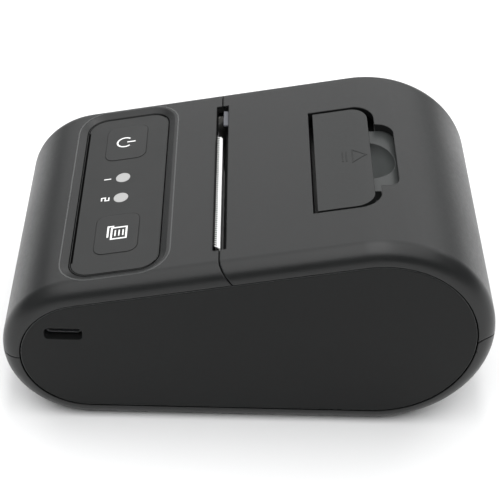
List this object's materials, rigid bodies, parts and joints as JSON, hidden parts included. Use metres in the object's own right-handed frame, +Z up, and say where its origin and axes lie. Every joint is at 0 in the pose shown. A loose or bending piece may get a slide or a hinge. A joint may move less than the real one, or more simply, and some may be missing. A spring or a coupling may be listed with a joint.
{
  "type": "portable thermal printer",
  "caption": "Pocket thermal printer: wedge casing with rounded sides, hinged roll lid with lift-up lever, exit slot with tear strip, two keys and lamps on a sunken deck.",
  "frame": {"origin": "on the floor under the middle of the body", "axes": "+X across the paper towards the charging slot, +Y from the nose to the rear, +Z up"},
  "size_m": [0.075, 0.118, 0.056],
  "materials": {
    "casing": "fine moulded texture, satin",
    "side_plate": "fine moulded texture, satin",
    "deck": "smooth matt film",
    "key": "smooth matt film",
    "lever": "fine moulded texture, satin",
    "lens": "milky translucent",
    "dark_part": "matt moulded",
    "board": "solder mask",
    "switch": "moulded",
    "steel": "plated",
    "motor_can": "plated can",
    "ceramic": "glazed ceramic",
    "aluminium": "extruded",
    "paper": "coated label stock",
    "cardboard": "wound board",
    "battery_wrap": "heat-shrink film",
    "gear_plastic": "acetal",
    "brass": "machined",
    "rubber": "ground rubber"
  },
  "bodies": {
    "housing": {"base_shell": "casing", "front_shell": "casing", "side_plate_right": "side_plate", "side_plate_left": "side_plate", "control_panel": "deck", "led_lenses": "lens", "key_board": "board", "key_switches": "switch", "tear_bar": "dark_part", "mech_frame": "steel", "idler_post": "steel", "feed_motor": "motor_can", "print_head": "ceramic", "head_carrier": "aluminium", "head_springs": "steel", "paper_web": "paper", "paper_tray": "dark_part", "roll_divider": "dark_part", "main_board": "board", "usb_socket": "steel", "battery_pack": "battery_wrap", "case_screws": "steel", "hinge_pins": "steel"},
    "lid": {"paper_lid": "casing", "lever_well": "dark_part", "lever_pin": "steel", "platen_bushes": "gear_plastic"},
    "lever": {"open_lever": "lever"},
    "platen": {"platen_roller": "rubber", "platen_shaft": "steel", "platen_gear": "gear_plastic"},
    "idler": {"idler_gear": "gear_plastic"},
    "pinion": {"motor_pinion": "brass", "motor_shaft": "steel"},
    "roll": {"label_roll": "paper", "roll_core": "cardboard"},
    "power_key": {"power_button": "key"},
    "feed_key": {"feed_button": "key"}
  },
  "joints": [
    {"name": "lid_hinge", "type": "hinge", "parent": "housing", "child": "lid", "pos_m": [0, 0.057, 0.027], "axis": [-1, 0, 0], "range_deg": [0, 60]},
    {"name": "lever_pivot", "type": "hinge", "parent": "lid", "child": "lever", "pos_m": [0, 0.01872, 0.05141], "axis": [1, 0, 0], "range_deg": [0, 25], "stiffness_Nm_per_rad": 0.01},
    {"name": "platen_spin", "type": "hinge", "parent": "lid", "child": "platen", "pos_m": [0, -0.0015, 0.0395], "axis": [1, 0, 0], "continuous": true},
    {"name": "idler_spin", "type": "hinge", "parent": "housing", "child": "idler", "pos_m": [0, -0.0099, 0.0283], "axis": [1, 0, 0], "continuous": true},
    {"name": "pinion_spin", "type": "hinge", "parent": "housing", "child": "pinion", "pos_m": [0, -0.0059, 0.01752], "axis": [1, 0, 0], "continuous": true},
    {"name": "roll_spin", "type": "hinge", "parent": "housing", "child": "roll", "pos_m": [0, 0.031, 0.0233], "axis": [1, 0, 0], "continuous": true},
    {"name": "power_press", "type": "slide", "parent": "housing", "child": "power_key", "axis": [0, 0.2008, -0.9796], "range_m": [0, 0.0004], "stiffness_N_per_m": 300},
    {"name": "feed_press", "type": "slide", "parent": "housing", "child": "feed_key", "axis": [0, 0.2008, -0.9796], "range_m": [0, 0.0004], "stiffness_N_per_m": 300}
  ],
  "couplings": [
    {"joint": "platen_spin", "follows": "roll_spin", "ratio": -3.8},
    {"joint": "idler_spin", "follows": "roll_spin", "ratio": 2.4588},
    {"joint": "pinion_spin", "follows": "roll_spin", "ratio": -6.9667}
  ]
}
